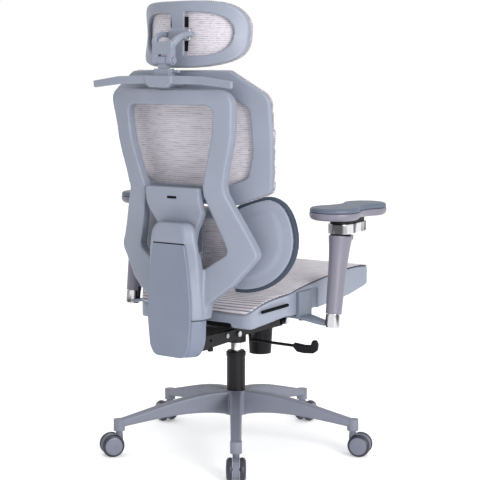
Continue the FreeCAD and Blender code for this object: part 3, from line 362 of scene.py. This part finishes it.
def outline_of(node, across, along, step, inset):
    """The outer outline of a thin CAD node seen along its third axis: evenly spaced points on its surface."""
    points = sorted({(round(v.co[across], 5), round(v.co[along], 5)) for v in NODES[node].data.vertices})

    def half(line):
        chain = []
        for x, y in line:
            while len(chain) > 1:
                (ax, ay), (bx, by) = chain[-2], chain[-1]
                if (bx - ax) * (y - ay) - (by - ay) * (x - ax) > 0:
                    break
                chain.pop()
            chain.append((x, y))
        return chain[:-1]

    hull = half(points) + half(reversed(points))
    depth = 3 - across - along
    lookup = kdtree.KDTree(len(NODES[node].data.vertices))
    for i, vertex in enumerate(NODES[node].data.vertices):
        flat = Vector((vertex.co[across], vertex.co[along], 0))
        lookup.insert(flat, i)
    lookup.balance()
    middle = Vector((sum(x for x, _ in hull) / len(hull), sum(y for _, y in hull) / len(hull)))
    places = []
    for i, corner in enumerate(hull):
        start, end = Vector(corner), Vector(hull[(i + 1) % len(hull)])
        pieces = max(1, round((end - start).length / step))
        for k in range(pieces):
            spot = start.lerp(end, k / pieces)
            near = lookup.find_n((spot.x, spot.y, 0), 6)
            level = sum(NODES[node].data.vertices[index].co[depth] for _, index, _ in near) / len(near)
            spot += (middle - spot).normalized() * inset
            place = Vector((0, 0, 0))
            place[across], place[along], place[depth] = spot.x, spot.y, level
            places.append(place)
    return places


def eased(places, rounds):
    """Relax a closed line of points a little."""
    for _ in range(rounds):
        places = [(places[i - 1] + 2 * places[i] + places[(i + 1) % len(places)]) / 4
                  for i in range(len(places))]
    return places


# ---------------------------------------------------------------- knitted sheets
# The thickness of each CAD mesh solid along its facing axis, and how finely its curve is measured.
CAD_CLOTH = {"upper_back_mesh": 0.003, "headrest_mesh": 0.003, "lumbar_mesh": 0.003, "seat_mesh": 0.005}
CUT_STEPS = 120
CUT_LINES = 24


def cut_of(node, facing):
    """The cloth that a CAD mesh solid was cut from: width and length over its curve, and its flat area.

    The solid has one thickness along its facing axis, so volume over thickness is the area it covers seen
    along that axis. The curve's share of extra length in each direction lets that area out.
    """
    data = NODES[node].data
    solid = bmesh.new()
    solid.from_mesh(data)
    bmesh.ops.remove_doubles(solid, verts=solid.verts, dist=1e-6)
    volume = abs(solid.calc_volume())
    solid.free()
    surface = BVHTree.FromPolygons([v.co for v in data.vertices], [p.vertices for p in data.polygons])
    low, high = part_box(node)
    facing = Vector(facing)
    depth = 2 if facing.z > 0.5 else 1
    along = 3 - depth

    def reach(moving, steady, level):
        first, last, travelled = None, None, 0
        for k in range(CUT_STEPS + 1):
            start = high + facing * 0.1
            start[moving] = low[moving] + (high[moving] - low[moving]) * k / CUT_STEPS
            start[steady] = level
            hit = surface.ray_cast(start, -facing)[0]
            if hit and last:
                travelled += (hit - last).length
            first = first or hit
            last = hit or last
        return (travelled, abs(last[moving] - first[moving])) if last else (0, 1)

    def longest(moving, steady):
        span = high[steady] - low[steady]
        return max(reach(moving, steady, low[steady] + span * k / CUT_LINES) for k in range(1, CUT_LINES))

    width, straight_width = longest(0, along)
    length, straight_length = longest(along, 0)
    seen = volume / CAD_CLOTH[node]
    return width, length, seen * (width / straight_width) * (length / straight_length)


def knitted(name, node, facing, thickness, material=None, shape=None):
    """The knitted sheet of a CAD mesh solid: the faces on one side, given the fabric's thickness."""
    solid = bmesh.new()
    solid.from_mesh(NODES[node].data)
    bmesh.ops.remove_doubles(solid, verts=solid.verts, dist=1e-6)
    away = Vector(facing)
    gone = [face for face in solid.faces if face.normal.dot(away) < 0.25]
    bmesh.ops.delete(solid, geom=gone, context="FACES")
    if shape:
        for vertex in solid.verts:
            vertex.co = shape(vertex.co, vertex.normal)
    mesh = bpy.data.meshes.new(name)
    solid.to_mesh(mesh)
    solid.free()
    piece = new_piece(name, mesh, BODY_OF[node], material or MESH)
    thicken = piece.modifiers.new("yarn", "SOLIDIFY")
    thicken.thickness = thickness
    thicken.offset = -1
    baked(piece)
    piece.data.polygons.foreach_set("use_smooth", [True] * len(piece.data.polygons))
    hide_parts(node)
    width, length, area = cut_of(node, facing)
    return piece


# ---------------------------------------------------------------- moulded parts
REAR_FACING = 0.4
WING_ROOT = 0.118
RIM_WIDTH = 0.020
RIDGE_WIDTH = 0.016
RIDGE_HEIGHT = 0.0026
HUB_BOTTOM = 0.089


def wing_crown(place, normal):
    """The wings' rear faces: a plateau inside a soft ridge that follows the rim."""
    if normal.y < REAR_FACING or abs(place.x) < WING_ROOT:
        return place
    spread = WING_TREE.find((place.x, 0, place.z))[2]
    rise = min(max((spread - RIM_WIDTH) / RIDGE_WIDTH, 0), 1)
    rise = rise * rise * (3 - 2 * rise)
    return place + Vector((0, RIDGE_HEIGHT * rise, 0))


def blunter(place, normal):
    """The headrest's ends, squared up a little: wider near its upper and lower edges, less so halfway."""
    low, high = HEAD_BOX
    level = min(abs(place.z - (low.z + high.z) / 2) / ((high.z - low.z) / 2), 1)
    wide = place.x * (0.975 + 0.12 * level ** 1.4)
    limit = high.x * 0.99
    wide = max(-limit, min(limit, wide))
    return Vector((wide, place.y - 2.1 * (wide * wide - place.x * place.x), place.z))


def wing_tree():
    """Where the wings' outer edging runs, for distances to it."""
    vertices = [v.co for v in NODES["lumbar_edging"].data.vertices]
    tree = kdtree.KDTree(len(vertices))
    for i, place in enumerate(vertices):
        tree.insert((place.x, 0, place.z), i)
    tree.balance()
    return tree


HEAD_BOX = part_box("headrest_frame")
WING_TREE = wing_tree()
knitted("upper_back_knit", "upper_back_mesh", (0, 1, 0), 0.0012)
knitted("headrest_knit", "headrest_mesh", (0, 1, 0), 0.0012, MESH, blunter)
knitted("lumbar_knit", "lumbar_mesh", (0, 1, 0), 0.0012)
knitted("seat_knit", "seat_mesh", (0, 0, 1), 0.0014, SEAT_KNIT)
moulded("hourglass_frame", ["back_frame"], 0.0024, 14)
moulded("bracket_plate", ["back_bracket"], 0.002, 8)
moulded("upper_back_shell", ["upper_back_frame"], 0.0022, 10)
moulded("hanger_bar", ["coat_hanger"], 0.0016, 5)
moulded("headrest_ring", ["headrest_frame"], 0.0018, 10, blunter)
moulded("headrest_fork", ["headrest_yoke"], 0.0012, 6)
moulded("socket_block", ["headrest_socket"], 0.0012, 4)
moulded("lumbar_wings", ["lumbar_shell"], 0.0018, 6, wing_crown)
moulded("lumbar_piping", ["lumbar_edging"], 0.0015, 6)
moulded("seat_pan", ["seat_tray"], 0.0024, 9)
moulded("spine_box", ["lower_spine_box"], 0.0018, 10)
for arm in ("left", "right"):
    moulded(arm + "_sleeve", [arm + "_arm_sleeve"], 0.0015, 5)
    moulded(arm + "_shell_of_pad", [arm + "_pad_shell"], 0.0018, 8)
    cushion = moulded(arm + "_cushion", [arm + "_pad_top"], 0.0018, 8)
    softened(arm + "_arm_head", 0.0012)
    softened(arm + "_arm_bracket", 0.0012)
    softened(arm + "_arm_post", 0.0012)
for node in ("star_base", "mechanism_housing", "link_bars", "tension_knob", "height_lever", "lock_lever"):
    softened(node, 0.0015)
for node in ("headrest_post", "seat_carrier", "mechanism_bolts", "spine_cover"):
    softened(node, 0.0008)


def above_hub(place, normal):
    """The column tube ends level with the underside of the hub."""
    return Vector((place.x, place.y, max(place.z, HUB_BOTTOM)))


moulded("column_tube", ["gas_tube"], 0.0012, 3, above_hub)

# ---------------------------------------------------------------- wheels: a grey cap in a dark tread
CAP_SHARE = 0.8
for number in range(1, 6):
    for letter in "ab":
        node = "caster_wheel_%d%s" % (number, letter)
        mesh = merged_mesh(node, [node])
        wheel = new_piece("wheel_%d%s_tyre" % (number, letter), mesh, BODY_OF[node], TREAD)
        mesh.materials.append(CASTER)
        low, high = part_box(node)
        centre, radius = (low + high) / 2, (high.z - low.z) / 2
        for face in mesh.polygons:
            if (face.center - centre).length < CAP_SHARE * radius:
                face.material_index = 1
        mesh.polygons.foreach_set("use_smooth", [True] * len(mesh.polygons))
        mesh.set_sharp_from_angle(angle=math.radians(32))
        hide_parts(node)
    softened("caster_housing_%d" % number, 0.0012)

# ---------------------------------------------------------------- trim, and painted shade in gaps, slots and grooves
back_rim = eased(outline_of("upper_back_mesh", 0, 2, 0.0012, 0.001), 2)
tube_along("upper_back_stitching", "upper_back", STITCH, back_rim, 0.0024, 0.0055, 0.0008)
head_outline = outline_of("headrest_mesh", 0, 2, 0.0012, 0.001)
head_rim = eased([blunter(place, None) for place in head_outline], 2)
tube_along("headrest_stitching", "headrest", STITCH, head_rim, 0.0022, 0.0055, 0.0008)

low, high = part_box("spine_cover")
# Painted shade: a near-black strip along the top of the spine cover, where the gap there lies in shade.
block("cover_top_gap_shade", "back", SHADE_GAP, (low.x * 0.72, high.y - 0.004, high.z - 0.0009),
      (high.x * 0.72, high.y + 0.0003, high.z + 0.0011))
low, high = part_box("back_bracket")
# Painted shade: a near-black block in the bracket's slot, where there is only shade.
block("bracket_slot_shade", "upper_back", SHADE_GAP, (-0.0145, high.y - 0.0055, high.z - 0.0285),
      (0.0145, high.y - 0.0012, high.z - 0.0225))
low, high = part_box("headrest_frame")
middle = (low.z + high.z) / 2
for side in (-1, 1):
    for name, start in (("upper", 0.017), ("lower", -0.042)):
        # Painted shade: near-black blocks in the headrest's slits, where there is only shade.
        block("headrest_%s_slit_%s" % (name, "left" if side > 0 else "right"), "headrest", SHADE_GAP,
              (min(side * 0.0215, side * 0.0235), 0.2325, middle + start),
              (max(side * 0.0215, side * 0.0235), 0.246, middle + start + 0.026))
link_low, link_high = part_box("link_bars")
for side, name in ((-1, "right"), (1, "left")):
    disc(name + "_link_stud", "back", STEEL,
         (side * (link_high.x + 0.001), 0.132, 0.329), (side, 0, 0), 0.0062, 0.004)
    disc(name + "_link_foot", "back", BLACK,
         (side * (link_high.x - 0.004), 0.2, link_low.z - 0.002), (0, 0, 1), 0.0075, 0.009)
    disc(name + "_bracket_bolt", "seat", BLACK_STEEL, (side * 0.244, 0.052, 0.3815),
         (0, 0, 1), 0.0065, 0.008)
    head_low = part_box(name + "_arm_head")[0]
    # Painted shade: a near-black ring in the groove under the arm head, where there is only shade.
    disc(name + "_sleeve_seam_shade", name + "_arm", SHADE_GAP,
         (side * 0.33, 0.003, head_low.z - 0.0035), (0, 0, 1), 0.0262, 0.0062)
    # Painted shade: a near-black bar in the seat tray's groove, where there is only shade.
    disc(name + "_tray_slot_shade", "seat", SHADE_GAP, (side * 0.2225, 0.139, 0.4173),
         (side * 0.58, -0.75, 0.22), 0.0042, 0.075, 0.002)
tube_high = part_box("gas_tube")[1]
disc("column_collar", "base", BLACK, (0, 0, tube_high.z - 0.006), (0, 0, 1), tube_high.x + 0.0016,
     0.012)

# ---------------------------------------------------------------- stage, light, camera


def area_light(name, place, target, size, power, colour=(1, 1, 1)):
    data = bpy.data.lights.new(name, "AREA")
    data.shape = "DISK"
    data.size = size
    data.energy = power
    data.color = colour
    light = bpy.data.objects.new(name, data)
    light.location = place
    light.rotation_euler = (Vector(target) - Vector(place)).to_track_quat("-Z", "Y").to_euler()
    bpy.context.scene.collection.objects.link(light)


def make_floor():
    mesh = bpy.data.meshes.new("floor")
    reach = 40
    corners = [(-reach, -reach, 0), (reach, -reach, 0), (reach, reach, 0), (-reach, reach, 0)]
    mesh.from_pydata(corners, [], [(0, 1, 2, 3)])
    floor = bpy.data.objects.new("floor", mesh)
    bpy.context.scene.collection.objects.link(floor)
    s = Shader("floor_paint")
    s.surface.inputs["Base Color"].default_value = (0.93, 0.93, 0.935, 1)
    s.surface.inputs["Roughness"].default_value = 0.9
    s.surface.inputs["Emission Color"].default_value = (1, 1, 1, 1)
    s.surface.inputs["Emission Strength"].default_value = 0.2
    mesh.materials.append(s.material)


def make_camera():
    """Behind the chair on the sitter's right, a little below the headrest."""
    data = bpy.data.cameras.new("camera")
    data.sensor_width = 36
    data.lens = 107.25
    data.shift_x = 0.0083
    camera = bpy.data.objects.new("camera", data)
    bpy.context.scene.collection.objects.link(camera)
    distance, height, turn, pitch = 3.8, 1.024, math.radians(216), math.radians(6.93)
    heading = Vector((-math.sin(turn), math.cos(turn), 0))
    camera.location = -heading * distance + Vector((0, 0, height))
    look = heading * math.cos(pitch) - Vector((0, 0, math.sin(pitch)))
    camera.rotation_euler = look.to_track_quat("-Z", "Y").to_euler()
    bpy.context.scene.camera = camera


make_floor()
make_camera()
world = bpy.data.worlds.new("studio")
world.use_nodes = True
world.node_tree.nodes["Background"].inputs["Color"].default_value = (1, 1, 1, 1)
world.node_tree.nodes["Background"].inputs["Strength"].default_value = 1.0
bpy.context.scene.world = world
area_light("key", (-3.6, 1.6, 1.5), (0, 0, 0.5), 1.8, 120)
area_light("top", (0.4, 0.3, 3.6), (0, 0, 0.6), 2.2, 20)
bpy.context.scene.view_settings.view_transform = "Standard"
